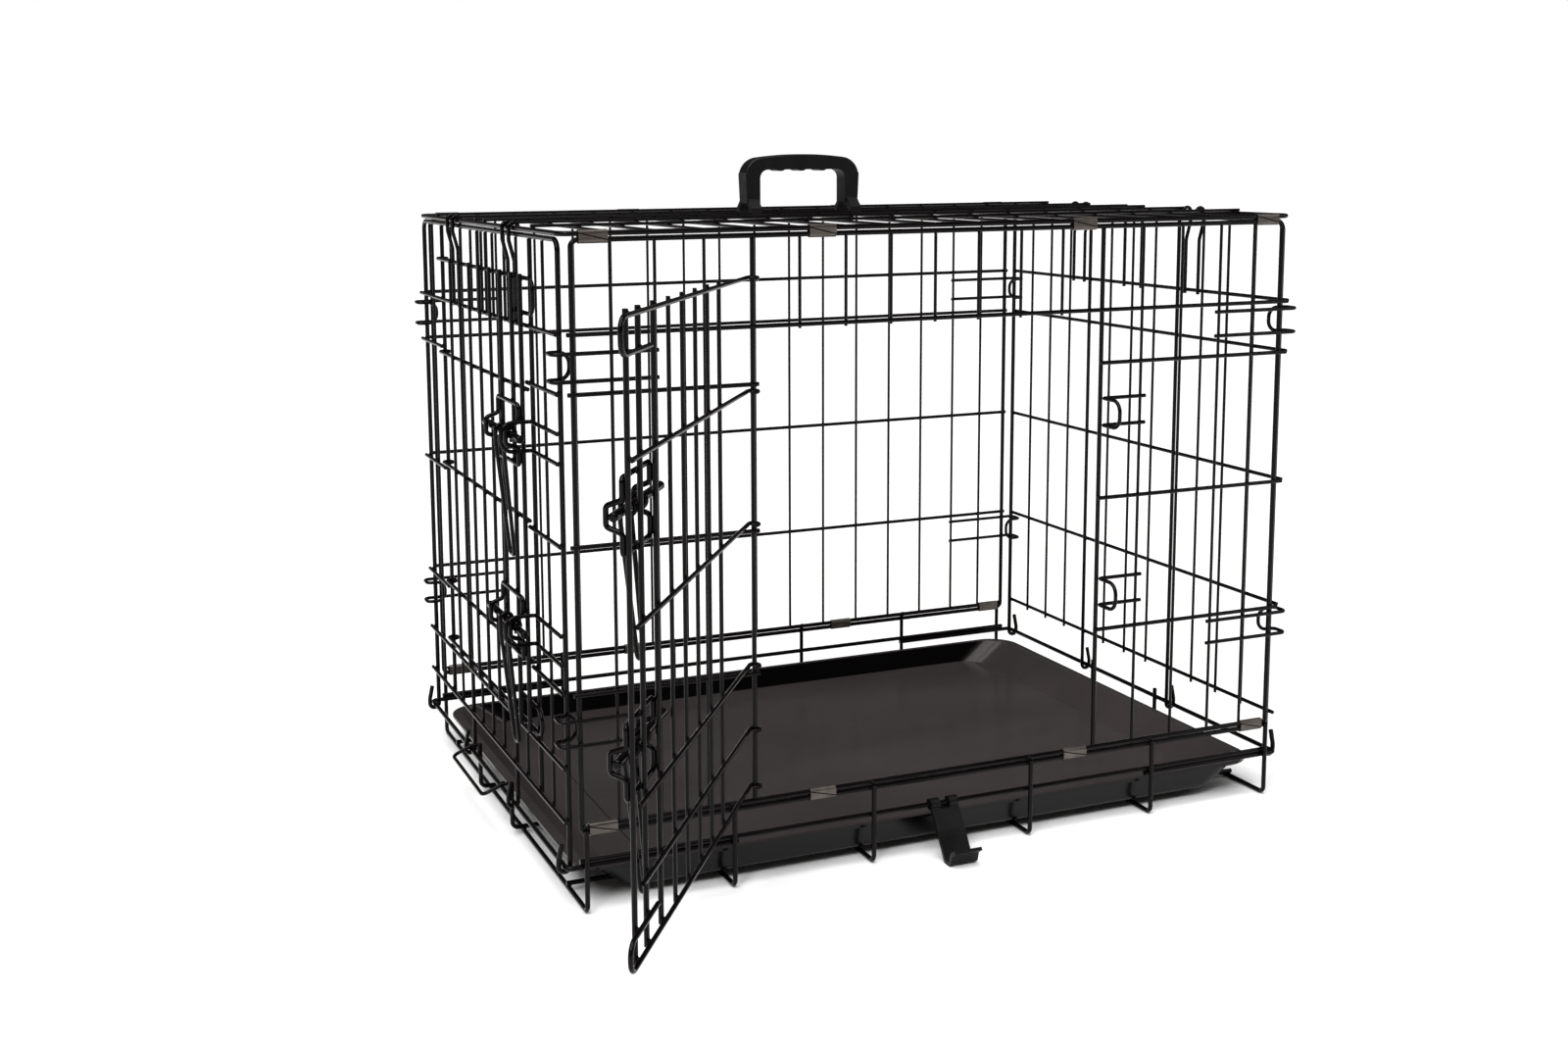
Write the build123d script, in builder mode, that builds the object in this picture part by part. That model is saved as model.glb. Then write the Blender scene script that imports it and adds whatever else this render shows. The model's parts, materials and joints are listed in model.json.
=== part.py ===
from build123d import *
import os
from math import cos, radians, sin

# Folding wire crate, about 61 x 43 cm on the floor and 48 cm tall, 53 cm over the handle.
# Origin at the centre of the base on the floor. The long front panel faces -Y, +Z is up.
# The front door stands open; the end door at -X is closed and bolted.

# Wire diameters
FRAME_WIRE = 3.8
POST_WIRE = 3.5
BASE_WIRE = 3.6
HOOK_WIRE = 3.3
BAR_WIRE = 3.2
DOOR_WIRE = 2.8
MESH_WIRE = 2.4
BRACKET_WIRE = 3.4
SMALL_WIRE = 3.0
BOLT_DIAMETER = 5.8
WELD_GAP = 0.02
BEND_MARGIN = 0.05

# Planes that the wires lie in
LEG_Y = 215.0
PANEL_Y = LEG_Y - BASE_WIRE / 2 - FRAME_WIRE / 2 - WELD_GAP
END_X = 304.0
HINGE_WIRE_X = 308.2

# Base
LEG_X = (68.5, 182.0, 295.0)
LEG_TOP = 61.5
SKIRT_Z = 63.0
RIM_Z = 37.75
LONG_WIRE_END = 299.0
SKIRT_END = 293.3
HINGE_WIRE_Z = 33.9
ARM_END_X = 178.0
CORNER_BEND = 4.0
LEG_BEND = 5.0
FLOOR_Z = BASE_WIRE * 1.5 + WELD_GAP
FLOOR_TIED_Y = 50.0
FLOOR_TIED_X = HINGE_WIRE_X - FRAME_WIRE / 2 - BASE_WIRE / 2 - WELD_GAP
FLOOR_TIED_TOP = 43.0
FLOOR_PLAIN_Y = 170.0
FLOOR_PLAIN_END = 297.0

# Front and back panels
PANEL_HALF = 297.0
PANEL_LOW = 58.8
PANEL_TOP = 475.8
PANEL_BEND = 5.0
UPRIGHT_PITCH = 36.5
UPRIGHTS = [UPRIGHT_PITCH * (k + 0.5) for k in range(7)] + [269.5]
BAR_LEVELS = (412.0, 371.0, 265.2, 160.0)
BAR_HALF = 302.0
BAR_OVERHANG = 3.0
BAR_OUT = (FRAME_WIRE + BAR_WIRE) / 2 + WELD_GAP
DOOR_POST_X = -164.25
LATCH_POST_X = 127.75
UPRIGHT_FOOT = SKIRT_Z + FRAME_WIRE / 2 + WELD_GAP
UPRIGHT_HEAD = PANEL_TOP - FRAME_WIRE / 2 - WELD_GAP

# End panels
END_PITCH = 34.0
END_POST_Y = 6 * END_PITCH
END_TOP = 475.9
END_TOP_BEND = 8.0
END_BAR_HALF = 208.3
END_LEVELS = (412.0, 371.0, 265.0, 160.0, 67.0)
END_DOOR_SILL = 106.0
HOOK_TIP_Z = 50.0
HOOK_LEAN = 2.5
END_DOOR_HALF = 4 * END_PITCH
TIE_Y = 13.0
HOOK_JOG_LOW = 456.0
HOOK_JOG_HIGH = 471.0
HOOK_WRAP = 3.75
HOOK_BENDS = [10.0, 2.5, 3.7, 3.7, 2.0]
TOP_HOOK_PAIRS = ((78.0, 96.0), (-78.0, -96.0))

# Roof
ROOF_Z = 480.1
ROOF_END_X = 304.5
ROOF_BEND = 8.0
ROOF_CROSS_Z = 480.8
ROOF_LONG_Y = (13.5, 73.5, 146.0)
ROOF_LONG_Z = ROOF_Z + (FRAME_WIRE + MESH_WIRE) / 2 + WELD_GAP
ROOF_LONG_HALF = 306.0

# Hinge clips
CLIP_X = (110.0, 281.4)
CLIP_LENGTH = 20.8
CLIP_SHEET = 0.7
CLIP_SLACK = 0.05
CLIP_SEAM = 0.8
CLIP_SEAM_TURN = 14.0

# Doors
EYE_RADIUS = 3.65
EYE_BEND = 3.6
DOOR_BAR_OUT = 3.8
TONGUE_BEND = 8.0
FRONT_DOOR_OPEN = 125.6
FRONT_EDGE = 287.5
END_EDGE = 269.5
DOOR_STEPS = (0.0, 24.0, 55.5, 87.5, 119.0, 151.0, 183.0, 214.5)
HEAVY_STEPS = 3
LATCH_LEVELS = {"upper": 333.0, "lower": 190.5}
LATCH_SPAN = DOOR_STEPS[HEAVY_STEPS - 1]

# Latches
BOLT_OUT = 15.5
BOLT_LENGTH = 100.0
BOLT_TRAVEL = 20.0
BOLT_ROUND = 1.6
BOLT_CLEARANCE = 0.15
BRACKET_HALF = 22.0
BULGE_HALF = 6.0
BULGE_FOOT = 9.5
PADDLE_DROP = 91.0
PADDLE_TOP_HALF = 11.0
PADDLE_END_HALF = 6.0
PADDLE_END_OUT = 12.5
PADDLE_CENTRE = 38.0
PADDLE_BENDS = [12.0, 5.0]
BRACKET_BEND = 3.0
KEEPER_HALF = 10.5
KEEPER_OUT = 26.0
FRONT_KEEPER_U = (LATCH_POST_X + 39.25, LATCH_POST_X + 0.45)
END_KEEPER_U = (-END_POST_Y - 1.8, -END_DOOR_HALF - 5.5)
FRONT_TIP_PAST_EDGE = 3.0
END_TIP_PAST_EDGE = 2.5
KEEPER_BENDS = [2.5, 8.5, 8.5, 2.5]
PRONG_OUT = (FRAME_WIRE + SMALL_WIRE) / 2 + WELD_GAP

# Corner catches: panel side, end sign, inner end of the prongs, upper and lower level
CATCHES = (
    ("front", -1, 236.0, 399.0, 380.0),
    ("front", -1, 255.0, 142.0, 124.0),
    ("front", 1, 232.0, 406.0, 387.0),
    ("front", 1, 232.0, 155.0, 137.0),
    ("back", -1, 237.0, 403.5, 385.0),
    ("back", -1, 237.0, 148.0, 130.5),
    ("back", 1, 237.0, 404.0, 385.0),
    ("back", 1, 237.0, 154.0, 134.0),
)
CATCH_X = 312.0
CATCH_INNER_X = 296.0
CATCH_RETURN_Y = 200.0
CATCH_BENDS = [5.0, 4.0, 8.0]

# Tray
TRAY_HALF_X = 297.0
TRAY_HALF_Y = 205.5
TRAY_CORNER = 28.0
TRAY_BOTTOM = 7.3
TRAY_TOP = 27.7
TRAY_WALL = 2.0
TRAY_BASE_HALF_X = 264.0
TRAY_BASE_HALF_Y = 200.0
TRAY_MOUTH_HALF_X = 291.0
TRAY_MOUTH_HALF_Y = 202.5
TRAY_FOOT_ROUND = 5.0
TRAY_PAD_X = 462.0
TRAY_PAD_Y = 330.0
TRAY_PAD_RISE = 0.8

# Tray latch
BAIL_Y = (60.0, -40.0)
BAIL_TAIL_Z = 25.0
BAIL_TAIL_OUT = -1.2
BAIL_TOP_Z = 38.6
BAIL_SHOULDER_OUT = 6.0
BAIL_BAR_OUT = 21.5
BAIL_BAR_Z = 32.0
BAIL_BENDS = [3.0, 6.0, 5.0, 5.0, 6.0, 3.0]

# Carry handle
HANDLE_X = -31.25
HANDLE_HALF = 51.75
HANDLE_TOP = 532.0
HANDLE_SHOULDER_Z = 529.5
HANDLE_SHOULDER_HALF = 38.0
HANDLE_SIDE_Z = 517.0
HANDLE_OPEN_HALF = 38.7
HANDLE_OPEN_TOP = 519.4
HANDLE_OPEN_ROUND = 7.0
HANDLE_LEG_Z = 492.0
HANDLE_HALF_THICK = 8.0
HANDLE_TAPER = 1.2
HANDLE_ROUND = 2.0
GRIP_RIDGES = (-20.0, -1.0, 18.0)
GRIP_RIDGE_RADIUS = 6.0
GRIP_RIDGE_DROP = 1.2
FOOT_X = 45.25
FOOT_LENGTH = 9.5
FOOT_BOTTOM = 482.2
FOOT_PROFILE = [
    (2.0, HANDLE_LEG_Z + 4.0),
    (7.5, HANDLE_LEG_Z + 4.0),
    (16.0, HANDLE_LEG_Z - 4.0),
    (16.0, FOOT_BOTTOM),
    (11.0, FOOT_BOTTOM),
    (11.0, HANDLE_LEG_Z - 5.0),
]

# Strap clip
STRAP_X = -7.75
STRAP_WIDTH = 23.5
STRAP_THICK = 2.6
STRAP_EYE_RADIUS = 4.4
STRAP_BORE_RADIUS = 2.0
STRAP_EYE_GAP = 8.0
STRAP_NOTCH_Y = 1.0
STRAP_NOTCH_Z = 1.2
STRAP_ROUTE = [
    (-2.6, -2.6),
    (-13.0, -17.0),
    (-25.0, -36.3),
    (-32.5, -36.3),
    (-34.5, -28.0),
    (-40.0, -24.0),
]
STRAP_BENDS = [12.0, 3.0, 3.0, 3.0]


def front(u, out, z):
    """A point on the front panel: along it, outwards from its plane, and up."""
    return (u, -PANEL_Y - out, z)


def back(u, out, z):
    """A point on the back panel."""
    return (u, PANEL_Y + out, z)


def left(u, out, z):
    """A point on the end panel at -X."""
    return (-END_X - out, u, z)


def right(u, out, z):
    """A point on the end panel at +X."""
    return (END_X + out, u, z)


def post_axis_out():
    """How far a door post's axis stands out of its panel's plane."""
    return (FRAME_WIRE - POST_WIRE) / 2


def front_door_at(w, out, z):
    """A point on the front door, measured from its hinge post, with the door standing open."""
    turn = radians(FRONT_DOOR_OPEN)
    reach = out - post_axis_out()
    along = w * cos(turn) - reach * sin(turn)
    across = w * sin(turn) + reach * cos(turn)
    return front(DOOR_POST_X + along, post_axis_out() + across, z)


def end_door_at(w, out, z):
    """A point on the closed end door, measured from its hinge post."""
    return left(END_DOOR_HALF - w, out, z)


def flush_out(diameter):
    """Plane of a wire whose outer side is flush with the frame wire's outer side."""
    return (FRAME_WIRE - diameter) / 2


def outside_bars(diameter):
    """Plane of a door upright welded to the outer side of the door's bars."""
    return DOOR_BAR_OUT + (BAR_WIRE + diameter) / 2 + WELD_GAP


def straight_wire(start, end, diameter):
    """A straight round wire between two points."""
    run = Vector(*end) - Vector(*start)
    with BuildPart() as wire:
        with BuildSketch(Plane(origin=start, z_dir=run)):
            Circle(diameter / 2)
        extrude(amount=run.length)
    return wire.part


def bent_wire(points, diameter, bend, closed=False):
    """A round wire bent along a route, with one bend radius or a list of them."""
    with BuildPart() as wire:
        with BuildLine() as route:
            FilletPolyline(*points, radius=bend, close=closed)
        with BuildSketch(route.line ^ 0):
            Circle(diameter / 2)
        sweep()
    return wire.part


def panel_uprights(side, opening=None):
    """The thin uprights of a long panel. Inside an opening they stop at the top bar."""
    wires = []
    for u in [s * x for x in UPRIGHTS for s in (-1, 1)]:
        foot = UPRIGHT_FOOT
        size = MESH_WIRE
        if opening and u in opening:
            size = POST_WIRE
        elif opening and opening[0] < u < opening[1]:
            foot = BAR_LEVELS[0] - BAR_OVERHANG
        out = flush_out(size)
        wires.append(straight_wire(side(u, out, foot), side(u, out, UPRIGHT_HEAD), size))
    return wires


def panel_frame(side):
    """The closed frame wire of a long panel."""
    corners = [
        side(-PANEL_HALF, 0, PANEL_LOW),
        side(PANEL_HALF, 0, PANEL_LOW),
        side(PANEL_HALF, 0, PANEL_TOP),
        side(-PANEL_HALF, 0, PANEL_TOP),
    ]
    return bent_wire(corners, FRAME_WIRE, PANEL_BEND, closed=True)


def bar(side, start, end, z):
    """A cross bar on the outer side of a panel."""
    return straight_wire(side(start, BAR_OUT, z), side(end, BAR_OUT, z), BAR_WIRE)


def end_frame(side):
    """The end panel's frame: an inverted U whose feet hook round the base's end wire."""
    grip = HINGE_WIRE_X - END_X
    toe = 2 * grip
    half = []
    half.append((toe - HOOK_LEAN, HOOK_TIP_Z))
    half.append((toe, HINGE_WIRE_Z + grip))
    half.append((toe, HINGE_WIRE_Z - grip))
    half.append((0, HINGE_WIRE_Z - grip))
    half.append((0, END_TOP))
    points = [side(-END_POST_Y, out, z) for out, z in half]
    points += [side(END_POST_Y, out, z) for out, z in reversed(half)]
    tight = grip - BEND_MARGIN
    bends = [HOOK_TIP_Z / 6, tight, tight, END_TOP_BEND]
    return bent_wire(points, FRAME_WIRE, bends + bends[::-1])


def end_hook(side, u, head):
    """An upright whose foot hooks round the base's end wire."""
    out = flush_out(HOOK_WIRE)
    grip = HINGE_WIRE_X - END_X - out
    toe = out + 2 * grip
    points = [
        side(u, out, head),
        side(u, out, HINGE_WIRE_Z - grip),
        side(u, toe, HINGE_WIRE_Z - grip),
        side(u, toe, HINGE_WIRE_Z + grip),
        side(u, toe - HOOK_LEAN, HOOK_TIP_Z),
    ]
    tight = grip - BEND_MARGIN
    return bent_wire(points, HOOK_WIRE, [tight, tight, HOOK_TIP_Z / 6])


def end_panel_wires(side, door):
    """All the wires of an end panel, with or without the door opening."""
    head = END_TOP - FRAME_WIRE / 2 - WELD_GAP
    sill = END_LEVELS[-1] - BAR_OVERHANG
    lintel = END_LEVELS[0] - BAR_OVERHANG
    under_door = END_DOOR_SILL + BAR_OVERHANG
    thin = flush_out(MESH_WIRE)
    wires = [end_frame(side)]
    for k in range(-5, 6):
        u = k * END_PITCH
        if abs(k) == 2:
            wires.append(end_hook(side, u, under_door if door else head))
            if door:
                wires.append(straight_wire(side(u, thin, lintel), side(u, thin, head), MESH_WIRE))
        elif door and abs(k) == 4:
            out = flush_out(POST_WIRE)
            wires.append(straight_wire(side(u, out, sill), side(u, out, head), POST_WIRE))
        elif door and abs(k) < 4:
            wires.append(straight_wire(side(u, thin, lintel), side(u, thin, head), MESH_WIRE))
            wires.append(straight_wire(side(u, thin, sill), side(u, thin, under_door), MESH_WIRE))
        else:
            wires.append(straight_wire(side(u, thin, sill), side(u, thin, head), MESH_WIRE))
    for z in END_LEVELS:
        if door and z in END_LEVELS[1:4]:
            inner = END_DOOR_HALF - BAR_OVERHANG
            wires.append(bar(side, -END_BAR_HALF, -inner, z))
            wires.append(bar(side, inner, END_BAR_HALF, z))
        else:
            wires.append(bar(side, -END_BAR_HALF, END_BAR_HALF, z))
    if door:
        wires.append(bar(side, -END_BAR_HALF, END_BAR_HALF, END_DOOR_SILL))
    tie = flush_out(SMALL_WIRE)
    for u in (-TIE_Y, TIE_Y):
        wires.append(straight_wire(side(u, tie, lintel), side(u, tie, head), SMALL_WIRE))
    return wires


def top_hook(side, pair):
    """A hairpin welded to the end panel, with its closed end curled over the roof's end wire."""
    wrap = HOOK_WRAP
    centre = ROOF_END_X - END_X
    low = flush_out(SMALL_WIRE)
    half = []
    half.append((low, END_LEVELS[0] - BAR_OVERHANG))
    half.append((low, HOOK_JOG_LOW))
    half.append((centre + wrap, HOOK_JOG_HIGH))
    half.append((centre + wrap, ROOF_Z + wrap))
    half.append((centre - wrap, ROOF_Z + wrap))
    half.append((centre - wrap, ROOF_Z - BAR_OVERHANG / 3))
    points = [side(pair[0], out, z) for out, z in half]
    points += [side(pair[1], out, z) for out, z in reversed(half)]
    return bent_wire(points, SMALL_WIRE, HOOK_BENDS + HOOK_BENDS[::-1])


def hinged_bar(place, end, z, tongue=None):
    """A door bar curled round the hinge post. A tongue is a hairpin return at the free end."""
    low = post_axis_out() - EYE_RADIUS
    route = [
        (EYE_RADIUS, post_axis_out()),
        (EYE_RADIUS, low),
        (-EYE_RADIUS, low),
        (-EYE_RADIUS, DOOR_BAR_OUT),
        (end, DOOR_BAR_OUT),
    ]
    points = [place(w, out, z) for w, out in route]
    bends = [EYE_BEND, EYE_BEND, EYE_BEND]
    if tongue:
        level, back_to = tongue
        points.append(place(end, DOOR_BAR_OUT, level))
        points.append(place(back_to, DOOR_BAR_OUT, level))
        bends += [TONGUE_BEND, TONGUE_BEND]
    return bent_wire(points, BAR_WIRE, bends)


def door_uprights(place, edge, low, high):
    """The uprights of a door, counted back from its free edge."""
    wires = []
    for count, step in enumerate(DOOR_STEPS):
        size = POST_WIRE if count < HEAVY_STEPS else DOOR_WIRE
        out = outside_bars(size)
        w = edge - step
        wires.append(straight_wire(place(w, out, low), place(w, out, high), size))
    return wires


def latch_bracket(place, edge, level):
    """A closed wire loop whose two legs bulge out round the bolt."""
    flat = outside_bars(POST_WIRE) + (POST_WIRE + BRACKET_WIRE) / 2 + WELD_GAP
    bulge = BOLT_OUT + (BOLT_DIAMETER + BRACKET_WIRE) / 2 + BOLT_CLEARANCE
    leg = [
        (flat, BRACKET_HALF),
        (flat, BULGE_FOOT),
        (bulge, BULGE_HALF),
        (bulge, -BULGE_HALF),
        (flat, -BULGE_FOOT),
        (flat, -BRACKET_HALF),
    ]
    points = [place(edge, out, level + z) for out, z in leg]
    points += [place(edge - LATCH_SPAN, out, level + z) for out, z in reversed(leg)]
    return bent_wire(points, BRACKET_WIRE, BRACKET_BEND, closed=True)


def bolt(place, tip, level):
    """A round bolt with rounded ends."""
    start = Vector(*place(tip - BOLT_LENGTH, BOLT_OUT, level))
    run = Vector(*place(tip, BOLT_OUT, level)) - start
    with BuildPart() as rod:
        with BuildSketch(Plane(origin=start, z_dir=run)):
            Circle(BOLT_DIAMETER / 2)
        extrude(amount=run.length)
        fillet(rod.edges().filter_by(GeomType.CIRCLE), BOLT_ROUND)
    return rod.part


def paddle(place, centre, level):
    """A hairpin lever whose two ends are curled round the bolt."""
    ring = (BOLT_DIAMETER + SMALL_WIRE) / 2 + BOLT_CLEARANCE
    side_points = [
        (PADDLE_TOP_HALF, 0.0, -ring),
        (PADDLE_TOP_HALF, -ring, -ring),
        (PADDLE_TOP_HALF, -ring, ring),
        (PADDLE_TOP_HALF, ring, ring),
        (PADDLE_TOP_HALF, ring, -2 * ring),
        (PADDLE_END_HALF, PADDLE_END_OUT - BOLT_OUT, -PADDLE_DROP),
    ]
    points = [place(centre + w, BOLT_OUT + out, level + z) for w, out, z in side_points]
    points += [place(centre - w, BOLT_OUT + out, level + z) for w, out, z in reversed(side_points)]
    tight = ring - BEND_MARGIN
    bends = [tight, tight, tight] + PADDLE_BENDS
    return bent_wire(points, SMALL_WIRE, bends + bends[::-1])


def keeper(side, start, end, level):
    """A hairpin welded beside the latch post, with its closed end standing out over the bolt."""
    half = [
        (start, PRONG_OUT, KEEPER_HALF),
        (end, PRONG_OUT, KEEPER_HALF),
        (end, KEEPER_OUT, KEEPER_HALF),
    ]
    points = [side(u, out, level + z) for u, out, z in half]
    points += [side(u, out, level - z) for u, out, z in reversed(half)]
    return bent_wire(points, SMALL_WIRE, KEEPER_BENDS)


def corner_catch(side, sign, start, high, low):
    """A hairpin on a long panel that reaches round the end panel's post and back inside it."""
    inner = CATCH_RETURN_Y - PANEL_Y
    half = [
        (start, PRONG_OUT),
        (CATCH_X, PRONG_OUT),
        (CATCH_X, inner),
        (CATCH_INNER_X, inner),
    ]
    points = [side(sign * u, out, high) for u, out in half]
    points += [side(sign * u, out, low) for u, out in reversed(half)]
    return bent_wire(points, SMALL_WIRE, CATCH_BENDS + CATCH_BENDS[::-1])


def hinge_clip(side, x, low, high):
    """A folded sheet sleeve round two parallel wires, with its seam on the outer side."""
    inner = FRAME_WIRE + 2 * CLIP_SLACK
    outer = inner + 2 * CLIP_SHEET
    middle = (low + high) / 2
    with BuildPart() as clip:
        with BuildSketch(Plane(origin=side(x, 0, middle), z_dir=(1, 0, 0), x_dir=(0, 0, 1))):
            SlotCenterToCenter(high - low, outer)
            SlotCenterToCenter(high - low, inner, mode=Mode.SUBTRACT)
        extrude(amount=CLIP_LENGTH / 2, both=True)
        cut_at = Location(side(x, inner / 2 + CLIP_SHEET, middle), (0, CLIP_SEAM_TURN, 0))
        with Locations(cut_at):
            Box(CLIP_LENGTH * 2, inner, CLIP_SEAM, mode=Mode.SUBTRACT)
    return clip.part


# Wire base: six crossed U-wires, two long wires a side, the end wires and the floor wires
base_wires = []
for leg_x in [s * x for x in LEG_X for s in (-1, 1)]:
    floor = BASE_WIRE / 2
    leg_route = [
        (leg_x, -LEG_Y, LEG_TOP),
        (leg_x, -LEG_Y, floor),
        (leg_x, LEG_Y, floor),
        (leg_x, LEG_Y, LEG_TOP),
    ]
    base_wires.append(bent_wire(leg_route, BASE_WIRE, LEG_BEND))
for wire_z, wire_end in ((SKIRT_Z, SKIRT_END), (RIM_Z, LONG_WIRE_END)):
    for side_sign in (-1, 1):
        wire_y = side_sign * PANEL_Y
        wire_start = (-wire_end, wire_y, wire_z)
        base_wires.append(straight_wire(wire_start, (wire_end, wire_y, wire_z), FRAME_WIRE))
for end_sign in (-1, 1):
    end_route = [
        (end_sign * ARM_END_X, -PANEL_Y, HINGE_WIRE_Z),
        (end_sign * HINGE_WIRE_X, -PANEL_Y, HINGE_WIRE_Z),
        (end_sign * HINGE_WIRE_X, PANEL_Y, HINGE_WIRE_Z),
        (end_sign * ARM_END_X, PANEL_Y, HINGE_WIRE_Z),
    ]
    base_wires.append(bent_wire(end_route, FRAME_WIRE, CORNER_BEND))
for floor_y in (-FLOOR_TIED_Y, FLOOR_TIED_Y):
    tied_route = [
        (-FLOOR_TIED_X, floor_y, FLOOR_TIED_TOP),
        (-FLOOR_TIED_X, floor_y, FLOOR_Z),
        (FLOOR_TIED_X, floor_y, FLOOR_Z),
        (FLOOR_TIED_X, floor_y, FLOOR_TIED_TOP),
    ]
    base_wires.append(bent_wire(tied_route, BASE_WIRE, LEG_BEND))
for floor_y in (-FLOOR_PLAIN_Y, FLOOR_PLAIN_Y):
    plain_start = (-FLOOR_PLAIN_END, floor_y, FLOOR_Z)
    base_wires.append(straight_wire(plain_start, (FLOOR_PLAIN_END, floor_y, FLOOR_Z), BASE_WIRE))
with BuildPart() as base_frame:
    add(base_wires)

# Front panel with its door opening
front_wires = [panel_frame(front)]
front_wires += panel_uprights(front, (DOOR_POST_X, LATCH_POST_X))
front_wires.append(bar(front, -BAR_HALF, BAR_HALF, BAR_LEVELS[0]))
for bar_z in BAR_LEVELS[1:]:
    front_wires.append(bar(front, -BAR_HALF, DOOR_POST_X + BAR_OVERHANG, bar_z))
    front_wires.append(bar(front, LATCH_POST_X - BAR_OVERHANG, BAR_HALF, bar_z))
with BuildPart() as front_panel:
    add(front_wires)

# Back panel, with no opening
back_wires = [panel_frame(back)] + panel_uprights(back)
back_wires += [bar(back, -BAR_HALF, BAR_HALF, bar_z) for bar_z in BAR_LEVELS]
with BuildPart() as back_panel:
    add(back_wires)

# Roof: frame wire, cross wires between the long edges, long wires over the end wires
roof_route = [
    (-ROOF_END_X, -PANEL_Y, ROOF_Z),
    (ROOF_END_X, -PANEL_Y, ROOF_Z),
    (ROOF_END_X, PANEL_Y, ROOF_Z),
    (-ROOF_END_X, PANEL_Y, ROOF_Z),
]
roof_wires = [bent_wire(roof_route, FRAME_WIRE, ROOF_BEND, closed=True)]
cross_half = PANEL_Y - FRAME_WIRE / 2 - WELD_GAP
for cross_x in [s * x for x in UPRIGHTS for s in (-1, 1)]:
    cross_start = (cross_x, -cross_half, ROOF_CROSS_Z)
    roof_wires.append(straight_wire(cross_start, (cross_x, cross_half, ROOF_CROSS_Z), MESH_WIRE))
for long_y in [s * y for y in ROOF_LONG_Y for s in (-1, 1)]:
    long_start = (-ROOF_LONG_HALF, long_y, ROOF_LONG_Z)
    roof_wires.append(straight_wire(long_start, (ROOF_LONG_HALF, long_y, ROOF_LONG_Z), MESH_WIRE))
with BuildPart() as roof_panel:
    add(roof_wires)

# Sheet clips that hinge the long panels to the base and to the roof
clip_places = [s * x for x in CLIP_X for s in (-1, 1)]
with BuildPart() as base_hinge_clips:
    for panel_side in (front, back):
        for clip_x in clip_places:
            add(hinge_clip(panel_side, clip_x, PANEL_LOW, SKIRT_Z))
with BuildPart() as roof_hinge_clips:
    for panel_side in (front, back):
        for clip_x in clip_places:
            add(hinge_clip(panel_side, clip_x, PANEL_TOP, ROOF_Z))

# Corner catches and door keepers
panel_sides = {"front": front, "back": back}
with BuildPart() as corner_catches:
    for side_name, end_sign, prong_start, catch_high, catch_low in CATCHES:
        add(corner_catch(panel_sides[side_name], end_sign, prong_start, catch_high, catch_low))
with BuildPart() as front_keepers:
    for latch_z in LATCH_LEVELS.values():
        add(keeper(front, FRONT_KEEPER_U[0], FRONT_KEEPER_U[1], latch_z))
with BuildPart() as end_keepers:
    for latch_z in LATCH_LEVELS.values():
        add(keeper(left, END_KEEPER_U[0], END_KEEPER_U[1], latch_z))

# End panels and their top hooks
with BuildPart() as left_end_panel:
    add(end_panel_wires(left, True))
with BuildPart() as right_end_panel:
    add(end_panel_wires(right, False))
with BuildPart() as left_top_hooks:
    for hook_pair in TOP_HOOK_PAIRS:
        add(top_hook(left, hook_pair))
with BuildPart() as right_top_hooks:
    for hook_pair in TOP_HOOK_PAIRS:
        add(top_hook(right, hook_pair))

# Front door, standing open
front_door_wires = [
    hinged_bar(front_door_at, 308.0, 446.0, (425.0, 249.0)),
    hinged_bar(front_door_at, 290.0, 365.5),
    hinged_bar(front_door_at, 284.0, 269.5),
    hinged_bar(front_door_at, 284.0, 165.0),
    hinged_bar(front_door_at, 280.0, 117.0),
    hinged_bar(front_door_at, 308.0, 74.0, (92.0, 250.0)),
]
front_door_wires += door_uprights(front_door_at, FRONT_EDGE, 71.0, 449.0)
with BuildPart() as front_door:
    add(front_door_wires)

# End door, closed
end_door_wires = [
    hinged_bar(end_door_at, 290.0, 446.0, (421.0, 231.0)),
    hinged_bar(end_door_at, 272.0, 366.0),
    hinged_bar(end_door_at, 270.0, 269.5),
    hinged_bar(end_door_at, 270.0, 164.0),
    hinged_bar(end_door_at, 290.0, 113.0, (131.0, 232.0)),
]
end_door_wires += door_uprights(end_door_at, END_EDGE, 110.0, 449.0)
with BuildPart() as end_door:
    add(end_door_wires)

# Latches: the front bolts are drawn back, the end bolts are shot past their keepers
with BuildPart() as front_latch_brackets:
    for latch_z in LATCH_LEVELS.values():
        add(latch_bracket(front_door_at, FRONT_EDGE, latch_z))
with BuildPart() as end_latch_brackets:
    for latch_z in LATCH_LEVELS.values():
        add(latch_bracket(end_door_at, END_EDGE, latch_z))
front_tip = FRONT_EDGE + FRONT_TIP_PAST_EDGE
end_tip = END_EDGE + END_TIP_PAST_EDGE + BOLT_TRAVEL
end_paddle_w = END_EDGE - PADDLE_CENTRE + BOLT_TRAVEL
with BuildPart() as front_upper_bolt:
    add(bolt(front_door_at, front_tip, LATCH_LEVELS["upper"]))
with BuildPart() as front_lower_bolt:
    add(bolt(front_door_at, front_tip, LATCH_LEVELS["lower"]))
with BuildPart() as end_upper_bolt:
    add(bolt(end_door_at, end_tip, LATCH_LEVELS["upper"]))
with BuildPart() as end_lower_bolt:
    add(bolt(end_door_at, end_tip, LATCH_LEVELS["lower"]))
with BuildPart() as front_upper_paddle:
    add(paddle(front_door_at, FRONT_EDGE - PADDLE_CENTRE, LATCH_LEVELS["upper"]))
with BuildPart() as front_lower_paddle:
    add(paddle(front_door_at, FRONT_EDGE - PADDLE_CENTRE, LATCH_LEVELS["lower"]))
with BuildPart() as end_upper_paddle:
    add(paddle(end_door_at, end_paddle_w, LATCH_LEVELS["upper"]))
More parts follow.
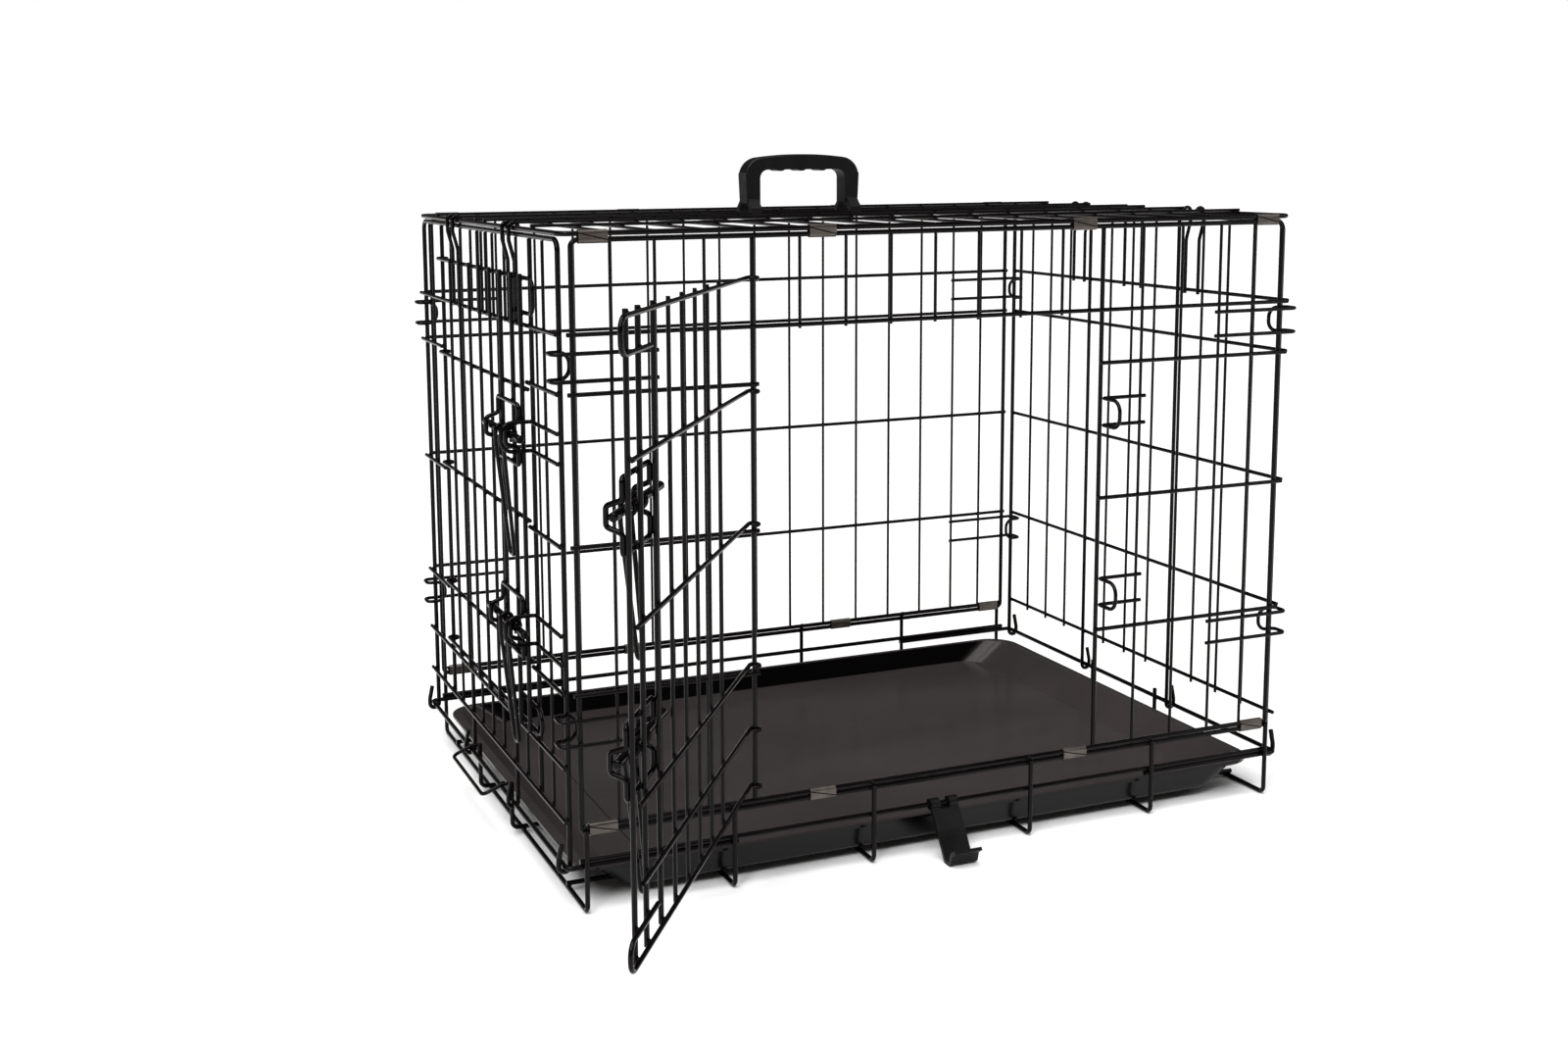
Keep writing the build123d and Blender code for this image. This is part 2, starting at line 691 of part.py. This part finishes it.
with BuildPart() as end_lower_paddle:
    add(paddle(end_door_at, end_paddle_w, LATCH_LEVELS["lower"]))

# Tray: sloped walls, a flat rim all round and a low pad in the floor
with BuildPart() as tray:
    with BuildSketch(Plane.XY.offset(TRAY_BOTTOM)):
        RectangleRounded(2 * TRAY_BASE_HALF_X, 2 * TRAY_BASE_HALF_Y, TRAY_CORNER)
    with BuildSketch(Plane.XY.offset(TRAY_TOP)):
        RectangleRounded(2 * TRAY_MOUTH_HALF_X, 2 * TRAY_MOUTH_HALF_Y, TRAY_CORNER)
    loft()
    fillet(tray.faces().sort_by(Axis.Z)[0].edges(), TRAY_FOOT_ROUND)
    with BuildSketch(Plane.XY.offset(TRAY_TOP - TRAY_WALL)):
        RectangleRounded(2 * TRAY_HALF_X, 2 * TRAY_HALF_Y, TRAY_CORNER)
    extrude(amount=TRAY_WALL)
    inset = 2 * TRAY_WALL
    with BuildSketch(Plane.XY.offset(TRAY_BOTTOM + TRAY_WALL)):
        RectangleRounded(
            2 * TRAY_BASE_HALF_X - inset, 2 * TRAY_BASE_HALF_Y - inset, TRAY_CORNER - TRAY_WALL
        )
    with BuildSketch(Plane.XY.offset(TRAY_TOP)):
        RectangleRounded(
            2 * TRAY_MOUTH_HALF_X - inset, 2 * TRAY_MOUTH_HALF_Y - inset, TRAY_CORNER - TRAY_WALL
        )
    loft(mode=Mode.SUBTRACT)
    with BuildSketch(Plane.XY.offset(TRAY_BOTTOM + TRAY_WALL)):
        RectangleRounded(TRAY_PAD_X, TRAY_PAD_Y, TRAY_CORNER)
    extrude(amount=TRAY_PAD_RISE)

# Tray latch: a wire bail hung over the end wire, its tails in front of the tray's rim
bail_half = [
    (BAIL_TAIL_OUT, BAIL_TAIL_Z),
    (BAIL_TAIL_OUT, BAIL_TOP_Z),
    (BAIL_SHOULDER_OUT, BAIL_TOP_Z),
    (BAIL_BAR_OUT, BAIL_BAR_Z),
]
bail_route = [left(BAIL_Y[0], out, z) for out, z in bail_half]
bail_route += [left(BAIL_Y[1], out, z) for out, z in reversed(bail_half)]
with BuildPart() as tray_latch:
    add(bent_wire(bail_route, SMALL_WIRE, BAIL_BENDS))

# Carry handle on the two middle roof wires
with BuildPart() as carry_handle:
    handle_plane = Plane(origin=(HANDLE_X, 0, 0), x_dir=(1, 0, 0), z_dir=(0, -1, 0))
    with BuildSketch(handle_plane):
        with BuildLine():
            crown = ThreePointArc(
                (-HANDLE_SHOULDER_HALF, HANDLE_SHOULDER_Z),
                (0, HANDLE_TOP),
                (HANDLE_SHOULDER_HALF, HANDLE_SHOULDER_Z),
            )
            right_corner = TangentArc(
                crown @ 1, (HANDLE_HALF, HANDLE_SIDE_Z), tangent=crown % 1
            )
            left_corner = TangentArc(
                crown @ 0, (-HANDLE_HALF, HANDLE_SIDE_Z), tangent=(crown % 0) * -1
            )
            Polyline(
                right_corner @ 1,
                (HANDLE_HALF - HANDLE_TAPER, HANDLE_LEG_Z),
                (HANDLE_TAPER - HANDLE_HALF, HANDLE_LEG_Z),
                left_corner @ 1,
            )
        make_face()
    extrude(amount=HANDLE_HALF_THICK, both=True)
    crown_edges = carry_handle.faces().filter_by(Axis.Y).edges().filter_by(GeomType.CIRCLE)
    fillet(crown_edges, HANDLE_ROUND)
    with BuildSketch(handle_plane):
        open_height = HANDLE_OPEN_TOP - HANDLE_LEG_Z + 2 * HANDLE_OPEN_ROUND
        with Locations((0, HANDLE_OPEN_TOP - open_height / 2)):
            RectangleRounded(2 * HANDLE_OPEN_HALF, open_height, HANDLE_OPEN_ROUND)
        ridge_z = HANDLE_OPEN_TOP - GRIP_RIDGE_DROP + GRIP_RIDGE_RADIUS
        with Locations([(ridge_x, ridge_z) for ridge_x in GRIP_RIDGES]):
            Circle(GRIP_RIDGE_RADIUS, mode=Mode.SUBTRACT)
    extrude(amount=2 * HANDLE_HALF_THICK, both=True, mode=Mode.SUBTRACT)
    for foot_sign in (-1, 1):
        foot_plane = Plane(
            origin=(HANDLE_X + foot_sign * FOOT_X, 0, 0), x_dir=(0, 1, 0), z_dir=(1, 0, 0)
        )
        with BuildSketch(foot_plane):
            for prong_sign in (-1, 1):
                with BuildLine():
                    Polyline(*[(prong_sign * y, z) for y, z in FOOT_PROFILE], close=True)
                make_face()
            with Locations((-ROOF_LONG_Y[0], ROOF_LONG_Z), (ROOF_LONG_Y[0], ROOF_LONG_Z)):
                Circle(MESH_WIRE / 2 + CLIP_SLACK, mode=Mode.SUBTRACT)
        extrude(amount=FOOT_LENGTH / 2, both=True)

# Strap clip: two eyes on the front rim wire and a curled strap
with BuildPart() as strap_clip:
    with BuildSketch(Plane(origin=(STRAP_X, -PANEL_Y, RIM_Z), x_dir=(0, 1, 0), z_dir=(1, 0, 0))):
        with BuildLine():
            FilletPolyline(*STRAP_ROUTE, radius=STRAP_BENDS)
        trace(line_width=STRAP_THICK)
        Circle(STRAP_EYE_RADIUS)
        Circle(STRAP_BORE_RADIUS, mode=Mode.SUBTRACT)
    extrude(amount=STRAP_WIDTH / 2, both=True)
    with Locations((STRAP_X, -PANEL_Y + STRAP_NOTCH_Y, RIM_Z + STRAP_NOTCH_Z)):
        Box(STRAP_EYE_GAP, 3 * STRAP_EYE_RADIUS, 2 * STRAP_EYE_RADIUS, mode=Mode.SUBTRACT)

os.makedirs("parts", exist_ok=True)

base_frame.part.label = "base_frame"
export_step(base_frame.part, "parts/base_frame.step")
front_panel.part.label = "front_panel"
export_step(front_panel.part, "parts/front_panel.step")
back_panel.part.label = "back_panel"
export_step(back_panel.part, "parts/back_panel.step")
roof_panel.part.label = "roof_panel"
export_step(roof_panel.part, "parts/roof_panel.step")
base_hinge_clips.part.label = "base_hinge_clips"
export_step(base_hinge_clips.part, "parts/base_hinge_clips.step")
roof_hinge_clips.part.label = "roof_hinge_clips"
export_step(roof_hinge_clips.part, "parts/roof_hinge_clips.step")
corner_catches.part.label = "corner_catches"
export_step(corner_catches.part, "parts/corner_catches.step")
front_keepers.part.label = "front_keepers"
export_step(front_keepers.part, "parts/front_keepers.step")
end_keepers.part.label = "end_keepers"
export_step(end_keepers.part, "parts/end_keepers.step")
left_end_panel.part.label = "left_end_panel"
export_step(left_end_panel.part, "parts/left_end_panel.step")
right_end_panel.part.label = "right_end_panel"
export_step(right_end_panel.part, "parts/right_end_panel.step")
left_top_hooks.part.label = "left_top_hooks"
export_step(left_top_hooks.part, "parts/left_top_hooks.step")
right_top_hooks.part.label = "right_top_hooks"
export_step(right_top_hooks.part, "parts/right_top_hooks.step")
front_door.part.label = "front_door"
export_step(front_door.part, "parts/front_door.step")
end_door.part.label = "end_door"
export_step(end_door.part, "parts/end_door.step")
front_latch_brackets.part.label = "front_latch_brackets"
export_step(front_latch_brackets.part, "parts/front_latch_brackets.step")
end_latch_brackets.part.label = "end_latch_brackets"
export_step(end_latch_brackets.part, "parts/end_latch_brackets.step")
front_upper_bolt.part.label = "front_upper_bolt"
export_step(front_upper_bolt.part, "parts/front_upper_bolt.step")
front_lower_bolt.part.label = "front_lower_bolt"
export_step(front_lower_bolt.part, "parts/front_lower_bolt.step")
end_upper_bolt.part.label = "end_upper_bolt"
export_step(end_upper_bolt.part, "parts/end_upper_bolt.step")
end_lower_bolt.part.label = "end_lower_bolt"
export_step(end_lower_bolt.part, "parts/end_lower_bolt.step")
front_upper_paddle.part.label = "front_upper_paddle"
export_step(front_upper_paddle.part, "parts/front_upper_paddle.step")
front_lower_paddle.part.label = "front_lower_paddle"
export_step(front_lower_paddle.part, "parts/front_lower_paddle.step")
end_upper_paddle.part.label = "end_upper_paddle"
export_step(end_upper_paddle.part, "parts/end_upper_paddle.step")
end_lower_paddle.part.label = "end_lower_paddle"
export_step(end_lower_paddle.part, "parts/end_lower_paddle.step")
tray.part.label = "tray"
export_step(tray.part, "parts/tray.step")
tray_latch.part.label = "tray_latch"
export_step(tray_latch.part, "parts/tray_latch.step")
carry_handle.part.label = "carry_handle"
export_step(carry_handle.part, "parts/carry_handle.step")
strap_clip.part.label = "strap_clip"
export_step(strap_clip.part, "parts/strap_clip.step")
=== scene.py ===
import json
from math import cos, pi, sin

import bmesh
import bpy
import numpy as np
from mathutils import Matrix, Vector


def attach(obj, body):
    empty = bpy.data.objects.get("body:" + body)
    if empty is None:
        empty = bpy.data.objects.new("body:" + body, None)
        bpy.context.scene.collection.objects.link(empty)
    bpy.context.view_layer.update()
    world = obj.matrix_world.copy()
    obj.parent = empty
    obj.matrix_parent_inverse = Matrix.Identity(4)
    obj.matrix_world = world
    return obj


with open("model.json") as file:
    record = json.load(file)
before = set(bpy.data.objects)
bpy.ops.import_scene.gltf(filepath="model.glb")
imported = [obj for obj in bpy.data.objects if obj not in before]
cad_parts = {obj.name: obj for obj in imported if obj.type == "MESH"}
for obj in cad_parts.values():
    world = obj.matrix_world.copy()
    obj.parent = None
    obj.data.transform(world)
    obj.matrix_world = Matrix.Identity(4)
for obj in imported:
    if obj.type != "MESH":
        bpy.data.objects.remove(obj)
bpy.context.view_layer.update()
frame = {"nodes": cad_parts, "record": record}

# Looks for a folding wire crate. Metres, in the CAD frame: -Y is the front, +Z is up.

# Weld beads, where two wires of one body cross
STRAIGHT_LENGTH = 0.006      # shortest straight run that counts as part of a wire
SAME_AXIS = 0.003            # lengthwise edges closer than this belong to one run
CONTACT_SLACK = 0.00035      # largest gap between two welded wires
CROSSING_SINE = 0.5          # runs more nearly parallel than this aren't a crossing
BEAD_SPREAD = 1.12           # bead size along each wire, in radii of the thinner wire
BEAD_DEPTH = 0.62            # bead size across the joint
BEAD_RINGS = 6
BEAD_CORNERS = 0.10            # how square a bead is, seen along the joint
BEAD_LEAN = 0.05               # how lopsided a bead is
BEAD_SEED = 7
SAME_WAY = 0.9999              # cosine between edges that run the same way
FEWEST_EDGES = 6               # lengthwise edges that make up a round run
BEAD_SIDES = 12

# Camera
CAMERA_AT = Vector((-0.6456, -1.3440, 0.5311))
CAMERA_YAW = 0.390695
CAMERA_PITCH = 0.138554
CAMERA_ROLL = -0.007447
CAMERA_LENS = 40.19
CAMERA_SENSOR = 36.0
CAMERA_SHIFT_X = 0.0322
CAMERA_SHIFT_Y = -0.0785

# Studio
FLOOR_SIZE = 30.0
FLOOR_DROP = 0.0002
FLOOR_WHITE = (0.90, 0.90, 0.90, 1.0)
ROOM_GREY = (0.085, 0.080, 0.078, 1.0)
BACKDROP_WHITE = (1.0, 1.0, 1.0, 1.0)
SKYLIGHT_STRENGTH = 4.0
SKYLIGHT_SPREAD = 1.15
SKYLIGHT_FROM = (-0.45, -0.35, 2.0)
LIGHTS_AIM = Vector((0.0, 0.0, 0.2))
LIGHTS = (
    ("key_light", (-1.7, -1.9, 2.3), 0.9, 34.0),
    ("side_light", (1.9, -1.3, 1.5), 0.7, 9.0),
)


class Look:
    """A node material built up step by step."""

    def __init__(self, name):
        self.material = bpy.data.materials.new(name)
        self.material.use_nodes = True
        self.nodes = self.material.node_tree.nodes
        self.links = self.material.node_tree.links
        self.shader = self.nodes["Principled BSDF"]
        self.place = self.nodes.new("ShaderNodeTexCoord").outputs["Object"]

    def set(self, **values):
        for socket, value in values.items():
            self.shader.inputs[socket.replace("_", " ")].default_value = value

    def noise(self, scale, detail=4.0, roughness=0.55, stretch=None):
        texture = self.nodes.new("ShaderNodeTexNoise")
        texture.inputs["Scale"].default_value = scale
        texture.inputs["Detail"].default_value = detail
        texture.inputs["Roughness"].default_value = roughness
        source = self.place
        if stretch:
            mapping = self.nodes.new("ShaderNodeMapping")
            mapping.inputs["Scale"].default_value = stretch
            self.links.new(source, mapping.inputs["Vector"])
            source = mapping.outputs["Vector"]
        self.links.new(source, texture.inputs["Vector"])
        return texture.outputs["Fac"]

    def ramp(self, value, stops):
        ramp = self.nodes.new("ShaderNodeValToRGB")
        ends = ramp.color_ramp.elements
        while len(ends) < len(stops):
            ends.new(0.5)
        for end, (position, colour) in zip(ends, stops):
            end.position = position
            end.color = (*colour, 1.0)
        self.links.new(value, ramp.inputs["Fac"])
        return ramp.outputs["Color"]

    def spread(self, value, low, high):
        remap = self.nodes.new("ShaderNodeMapRange")
        remap.inputs["To Min"].default_value = low
        remap.inputs["To Max"].default_value = high
        remap.inputs["From Min"].default_value = 0.3
        remap.inputs["From Max"].default_value = 0.7
        self.links.new(value, remap.inputs["Value"])
        return remap.outputs["Result"]

    def mix(self, value, first, second):
        mix = self.nodes.new("ShaderNodeMix")
        mix.data_type = "RGBA"
        self.links.new(value, mix.inputs["Factor"])
        self.links.new(first, mix.inputs["A"])
        self.links.new(second, mix.inputs["B"])
        return mix.outputs["Result"]

    def facing_up(self):
        """1 on level surfaces that face up, 0 on walls."""
        apart = self.nodes.new("ShaderNodeSeparateXYZ")
        coordinates = self.nodes.new("ShaderNodeTexCoord")
        self.links.new(coordinates.outputs["Normal"], apart.inputs["Vector"])
        return self.spread(apart.outputs["Z"], 0.0, 1.0)

    def feed(self, value, socket):
        self.links.new(value, self.shader.inputs[socket])

    def bump(self, heights):
        """Stacks (height, distance in metres, strength) bumps on the shader's normal."""
        normal = None
        for height, distance, strength in heights:
            bump = self.nodes.new("ShaderNodeBump")
            bump.inputs["Distance"].default_value = distance
            bump.inputs["Strength"].default_value = strength
            self.links.new(height, bump.inputs["Height"])
            if normal:
                self.links.new(normal, bump.inputs["Normal"])
            normal = bump.outputs["Normal"]
        self.links.new(normal, self.shader.inputs["Normal"])


def coated_wire(name, dark, pale, gloss):
    """Black dipped coating: even gloss, faint orange peel, a little dust and thin spots."""
    look = Look(name)
    broad = look.noise(30.0, 3.0)
    fine = look.noise(900.0, 5.0, 0.6)
    body = look.ramp(broad, ((0.32, dark), (0.72, pale)))
    dust = look.ramp(fine, ((0.60, dark), (0.90, tuple(c * 2.0 for c in pale))))
    look.feed(look.mix(look.spread(broad, 0.0, 0.25), body, dust), "Base Color")
    look.feed(look.spread(broad, gloss, gloss + 0.07), "Roughness")
    look.set(Metallic=0.0, IOR=1.5, Specular_IOR_Level=0.11)
    look.bump(((look.noise(260.0, 1.0), 0.00002, 0.10), (fine, 0.00001, 0.05)))
    return look.material


def clip_sheet():
    """Bronze-brown lacquered steel sheet with brushed lines and rubbed patches."""
    look = Look("clip_sheet_look")
    grain = look.noise(260.0, 6.0, 0.65, stretch=(0.25, 1.0, 3.0))
    patch = look.noise(70.0, 3.0)
    bronze = (
        (0.25, (0.046, 0.038, 0.033)),
        (0.55, (0.098, 0.083, 0.073)),
        (0.82, (0.190, 0.165, 0.148)),
    )
    base = look.ramp(grain, bronze)
    worn = look.ramp(patch, ((0.45, (0.072, 0.061, 0.054)), (0.75, (0.150, 0.130, 0.116))))
    look.feed(look.mix(look.spread(patch, 0.15, 0.6), base, worn), "Base Color")
    look.feed(look.spread(grain, 0.24, 0.44), "Roughness")
    look.set(Metallic=0.75, IOR=1.5)
    look.bump(((grain, 0.00005, 0.4), (patch, 0.00012, 0.3)))
    return look.material


def tray_plastic():
    """Dark brownish moulded tray: glossy floor with fine grain, flow marks and light scuffs; the up-facing
    floor is painted lighter than the walls as a painted reflection of the white backdrop.
    """
    look = Look("tray_plastic_look")
    flow = look.noise(4.5, 3.0, 0.5, stretch=(1.0, 2.2, 1.0))
    grain = look.noise(1500.0, 3.0)
    scuff = look.noise(55.0, 7.0, 0.7, stretch=(0.3, 1.6, 1.0))
    base = look.ramp(flow, ((0.3, (0.0270, 0.0218, 0.0222)), (0.7, (0.0400, 0.0330, 0.0335))))
    scuffed = look.ramp(scuff, ((0.5, (0.0290, 0.0235, 0.0240)), (0.85, (0.0540, 0.0460, 0.0460))))
    # Floor colour: flow marks and scuffs are real; its extra lightness over the walls is a painted
    # reflection of the white backdrop.
    floor_colour_painted_reflection = look.mix(look.spread(scuff, 0.0, 0.25), base, scuffed)
    wall_colour = look.ramp(flow, ((0.3, (0.0014, 0.0011, 0.0011)), (0.7, (0.0024, 0.0019, 0.0019))))
    # Up-facing surfaces get the lighter floor colour (painted reflection), walls get the near-black plastic
    # colour.
    look.feed(look.mix(look.facing_up(), wall_colour, floor_colour_painted_reflection), "Base Color")
    look.feed(look.spread(scuff, 0.17, 0.23), "Roughness")
    look.set(Metallic=0.0, IOR=1.49, Specular_IOR_Level=0.20)
    look.bump(((flow, 0.0010, 0.20), (grain, 0.00002, 0.25)))
    return look.material


def handle_plastic():
    """Satin black moulded plastic with spark-eroded grain and slightly polished high spots."""
    look = Look("handle_plastic_look")
    grain = look.noise(1800.0, 4.0, 0.6)
    rub = look.noise(48.0, 3.0)
    base = look.ramp(rub, ((0.3, (0.0016, 0.0013, 0.0014)), (0.75, (0.0034, 0.0029, 0.0031))))
    speck = look.ramp(grain, ((0.4, (0.0016, 0.0013, 0.0014)), (0.8, (0.0064, 0.0057, 0.0060))))
    look.feed(look.mix(look.spread(grain, 0.1, 0.5), base, speck), "Base Color")
    look.feed(look.spread(rub, 0.36, 0.52), "Roughness")
    look.set(Metallic=0.0, IOR=1.5, Specular_IOR_Level=0.16)
    look.bump(((grain, 0.00006, 0.6), (rub, 0.0002, 0.2)))
    return look.material


looks = {
    "coated_wire": coated_wire("coated_wire_look", (0.0016, 0.0011, 0.0012), (0.0032, 0.0023, 0.0024), 0.16),
    "latch_wire": coated_wire("latch_wire_look", (0.0013, 0.0010, 0.0010), (0.0026, 0.0019, 0.0020), 0.12),
    "clip_sheet": clip_sheet(),
    "tray_plastic": tray_plastic(),
    "handle_plastic": handle_plastic(),
}
slot_of = {part["node"]: part["material_slot"] for part in frame["record"]["subparts"]}
for node_name, node_object in frame["nodes"].items():
    if node_name in slot_of:
        node_object.data.materials.clear()
        node_object.data.materials.append(looks[slot_of[node_name]])


def islands(mesh):
    """The separate solids of a mesh, as (points, edges) with the edges indexing the points."""
    points = np.empty(len(mesh.vertices) * 3)
    mesh.vertices.foreach_get("co", points)
    points = points.reshape(-1, 3)
    edges = np.empty(len(mesh.edges) * 2, dtype=int)
    mesh.edges.foreach_get("vertices", edges)
    edges = edges.reshape(-1, 2)
    keys, merged = np.unique(np.round(points, 7), axis=0, return_inverse=True)
    merged = merged.reshape(-1)
    ends = merged[edges]
    group = np.arange(len(keys))
    while True:
        lowest = np.minimum(group[ends[:, 0]], group[ends[:, 1]])
        before = group.copy()
        np.minimum.at(group, ends[:, 0], lowest)
        np.minimum.at(group, ends[:, 1], lowest)
        group = group[group]
        if (group == before).all():
            break
    for root in np.unique(group):
        chosen = ends[group[ends[:, 0]] == root]
        yield keys, chosen


def straight_runs(keys, edges):
    """The straight runs of one wire, as (start, end, radius)."""
    first = keys[edges[:, 0]]
    span = keys[edges[:, 1]] - first
    length = np.linalg.norm(span, axis=1)
    long = length > STRAIGHT_LENGTH
    first, span, length = first[long], span[long], length[long]
    runs = []
    used = np.zeros(len(first), dtype=bool)
    for k in np.argsort(-length, kind="stable"):
        if used[k]:
            continue
        way = span[k] / length[k]
        along = np.abs(span @ way) / length
        ahead = (first - first[k]) @ way
        ahead_end = ahead + span @ way
        low = np.minimum(ahead, ahead_end)
        high = np.maximum(ahead, ahead_end)
        off = np.linalg.norm((first - first[k]) - np.outer(ahead, way), axis=1)
        same = (~used) & (along > SAME_WAY) & (off < 2 * SAME_AXIS)
        same &= (np.abs(low) < SAME_AXIS) & (np.abs(high - length[k]) < SAME_AXIS)
        if same.sum() < FEWEST_EDGES:
            used |= same
            continue
        used |= same
        begin = np.where((span[same] @ way)[:, None] > 0, first[same], first[same] + span[same])
        finish = np.where((span[same] @ way)[:, None] > 0, first[same] + span[same], first[same])
        start = (begin.max(axis=0) + begin.min(axis=0)) / 2
        end = (finish.max(axis=0) + finish.min(axis=0)) / 2
        side = begin - start
        side -= np.outer(side @ way, way)
        runs.append((start, end, float(np.linalg.norm(side, axis=1).mean())))
    return runs


def crossing(one, two):
    """Where two runs are welded together: (place, way of one, way of two, normal, radius)."""
    p, q, radius_one = one
    r, s, radius_two = two
    u, v, w = q - p, s - r, p - r
    long_u, long_v = np.linalg.norm(u), np.linalg.norm(v)
    u, v = u / long_u, v / long_v
    normal = np.cross(u, v)
    sine = np.linalg.norm(normal)
    if sine < CROSSING_SINE:
        return None
    a, d, e = u @ v, u @ w, v @ w
    t = (a * e - d) / (1 - a * a)
    k = (e - a * d) / (1 - a * a)
    slack = min(radius_one, radius_two)
    if not (-slack < t < long_u + slack and -slack < k < long_v + slack):
        return None
    on_one, on_two = p + u * t, r + v * k
    gap = np.linalg.norm(on_one - on_two) - radius_one - radius_two
    if abs(gap) > CONTACT_SLACK:
        return None
    across = (on_two - on_one) / np.linalg.norm(on_two - on_one)
    return on_one + across * (radius_one + gap / 2), u, v, across, slack


def add_bead(build, place, u, v, normal, radius, turn):
    """A soft oval nugget of coating in the corner between two crossing wires."""
    second = np.cross(normal, u)
    rings = []
    for ring in range(1, BEAD_RINGS):
        height = -cos(pi * ring / BEAD_RINGS)
        wide = sin(pi * ring / BEAD_RINGS)
        loop = []
        for side in range(BEAD_SIDES):
            angle = 2 * pi * (side + 0.5 * turn) / BEAD_SIDES
            uneven = 1.0 + BEAD_CORNERS * cos(4 * angle) + BEAD_LEAN * turn * cos(angle)
            reach = radius * BEAD_SPREAD * wide * uneven
            outward = u * cos(angle) + second * sin(angle)
            point = place + outward * reach + normal * height * radius * BEAD_DEPTH
            loop.append(build.verts.new(point))
        rings.append(loop)
    low = build.verts.new(place - normal * radius * BEAD_DEPTH)
    high = build.verts.new(place + normal * radius * BEAD_DEPTH)
    for side in range(BEAD_SIDES):
        after = (side + 1) % BEAD_SIDES
        build.faces.new((low, rings[0][after], rings[0][side]))
        build.faces.new((high, rings[-1][side], rings[-1][after]))
        for lower, upper in zip(rings, rings[1:]):
            build.faces.new((lower[side], lower[after], upper[after], upper[side]))


def smooth(piece):
    for face in piece.data.polygons:
        face.use_smooth = True


def piece_from(build, name, look):
    """A named object with a material, from a bmesh in the row frame."""
    bmesh.ops.recalc_face_normals(build, faces=build.faces)
    mesh = bpy.data.meshes.new(name)
    build.to_mesh(mesh)
    build.free()
    mesh.materials.append(looks[look])
    piece = bpy.data.objects.new(name, mesh)
    bpy.context.scene.collection.objects.link(piece)
    smooth(piece)
    return piece


# Weld beads on every body made of crossing wires
random = np.random.default_rng(BEAD_SEED)
for body, body_nodes in frame["record"]["behaviour"]["bodies"].items():
    wires = []
    for node_name in body_nodes:
        if slot_of[node_name] not in ("coated_wire", "latch_wire"):
            continue
        for keys, edges in islands(frame["nodes"][node_name].data):
            wires.append(straight_runs(keys, edges))
    welds = []
    for k, wire in enumerate(wires):
        for other in wires[k + 1:]:
            for one in wire:
                for two in other:
                    weld = crossing(one, two)
                    if weld:
                        welds.append(weld)
    if not welds:
        continue
    build = bmesh.new()
    for place, u, v, normal, radius in welds:
        add_bead(build, place, u, v, normal, radius, random.uniform(-1.0, 1.0))
    beads = piece_from(build, body + "_weld_beads", "coated_wire")
    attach(beads, body)

# Floor, light and camera
floor_mesh = bpy.data.meshes.new("floor")
half_floor = FLOOR_SIZE / 2
corner_signs = ((-1, -1), (1, -1), (1, 1), (-1, 1))
floor_corners = [(x * half_floor, y * half_floor, -FLOOR_DROP) for x, y in corner_signs]
floor_mesh.from_pydata(floor_corners, [], [(0, 1, 2, 3)])
floor_look = Look("floor_look")
floor_look.set(Base_Color=FLOOR_WHITE, Roughness=0.85, IOR=1.2)
floor_mesh.materials.append(floor_look.material)
floor = bpy.data.objects.new("floor", floor_mesh)
bpy.context.scene.collection.objects.link(floor)

world = bpy.data.worlds.new("studio")
world.use_nodes = True
world_nodes = world.node_tree.nodes
world_links = world.node_tree.links
world_nodes["Background"].inputs["Color"].default_value = ROOM_GREY
backdrop = world_nodes.new("ShaderNodeBackground")
backdrop.inputs["Color"].default_value = BACKDROP_WHITE
light_path = world_nodes.new("ShaderNodeLightPath")
world_mix = world_nodes.new("ShaderNodeMixShader")
world_links.new(light_path.outputs["Is Camera Ray"], world_mix.inputs["Fac"])
world_links.new(world_nodes["Background"].outputs["Background"], world_mix.inputs[1])
world_links.new(backdrop.outputs["Background"], world_mix.inputs[2])
world_links.new(world_mix.outputs["Shader"], world_nodes["World Output"].inputs["Surface"])
bpy.context.scene.world = world
skylight_data = bpy.data.lights.new("skylight", "SUN")
skylight_data.energy = SKYLIGHT_STRENGTH
skylight_data.angle = SKYLIGHT_SPREAD
skylight = bpy.data.objects.new("skylight", skylight_data)
skylight.rotation_euler = Vector(SKYLIGHT_FROM).to_track_quat("Z", "Y").to_euler()
bpy.context.scene.collection.objects.link(skylight)
for light_name, light_at, light_size, light_power in LIGHTS:
    light_data = bpy.data.lights.new(light_name, "AREA")
    light_data.size = light_size
    light_data.energy = light_power
    light = bpy.data.objects.new(light_name, light_data)
    light.location = light_at
    aim = LIGHTS_AIM - Vector(light_at)
    light.rotation_euler = aim.to_track_quat("-Z", "Y").to_euler()
    bpy.context.scene.collection.objects.link(light)

camera_data = bpy.data.cameras.new("camera")
camera_data.lens = CAMERA_LENS
camera_data.sensor_width = CAMERA_SENSOR
camera_data.shift_x = CAMERA_SHIFT_X
camera_data.shift_y = CAMERA_SHIFT_Y
camera = bpy.data.objects.new("camera", camera_data)
forward = Vector((
    sin(CAMERA_YAW) * cos(CAMERA_PITCH),
    cos(CAMERA_YAW) * cos(CAMERA_PITCH),
    -sin(CAMERA_PITCH),
))
level = Vector((cos(CAMERA_YAW), -sin(CAMERA_YAW), 0.0))
upward = level.cross(forward)
camera_right = cos(CAMERA_ROLL) * level + sin(CAMERA_ROLL) * upward
camera_up = cos(CAMERA_ROLL) * upward - sin(CAMERA_ROLL) * level
turned = Matrix((camera_right, camera_up, -forward)).transposed().to_4x4()
camera.matrix_world = Matrix.Translation(CAMERA_AT) @ turned
bpy.context.scene.collection.objects.link(camera)
bpy.context.scene.camera = camera
bpy.context.scene.view_settings.view_transform = "Standard"
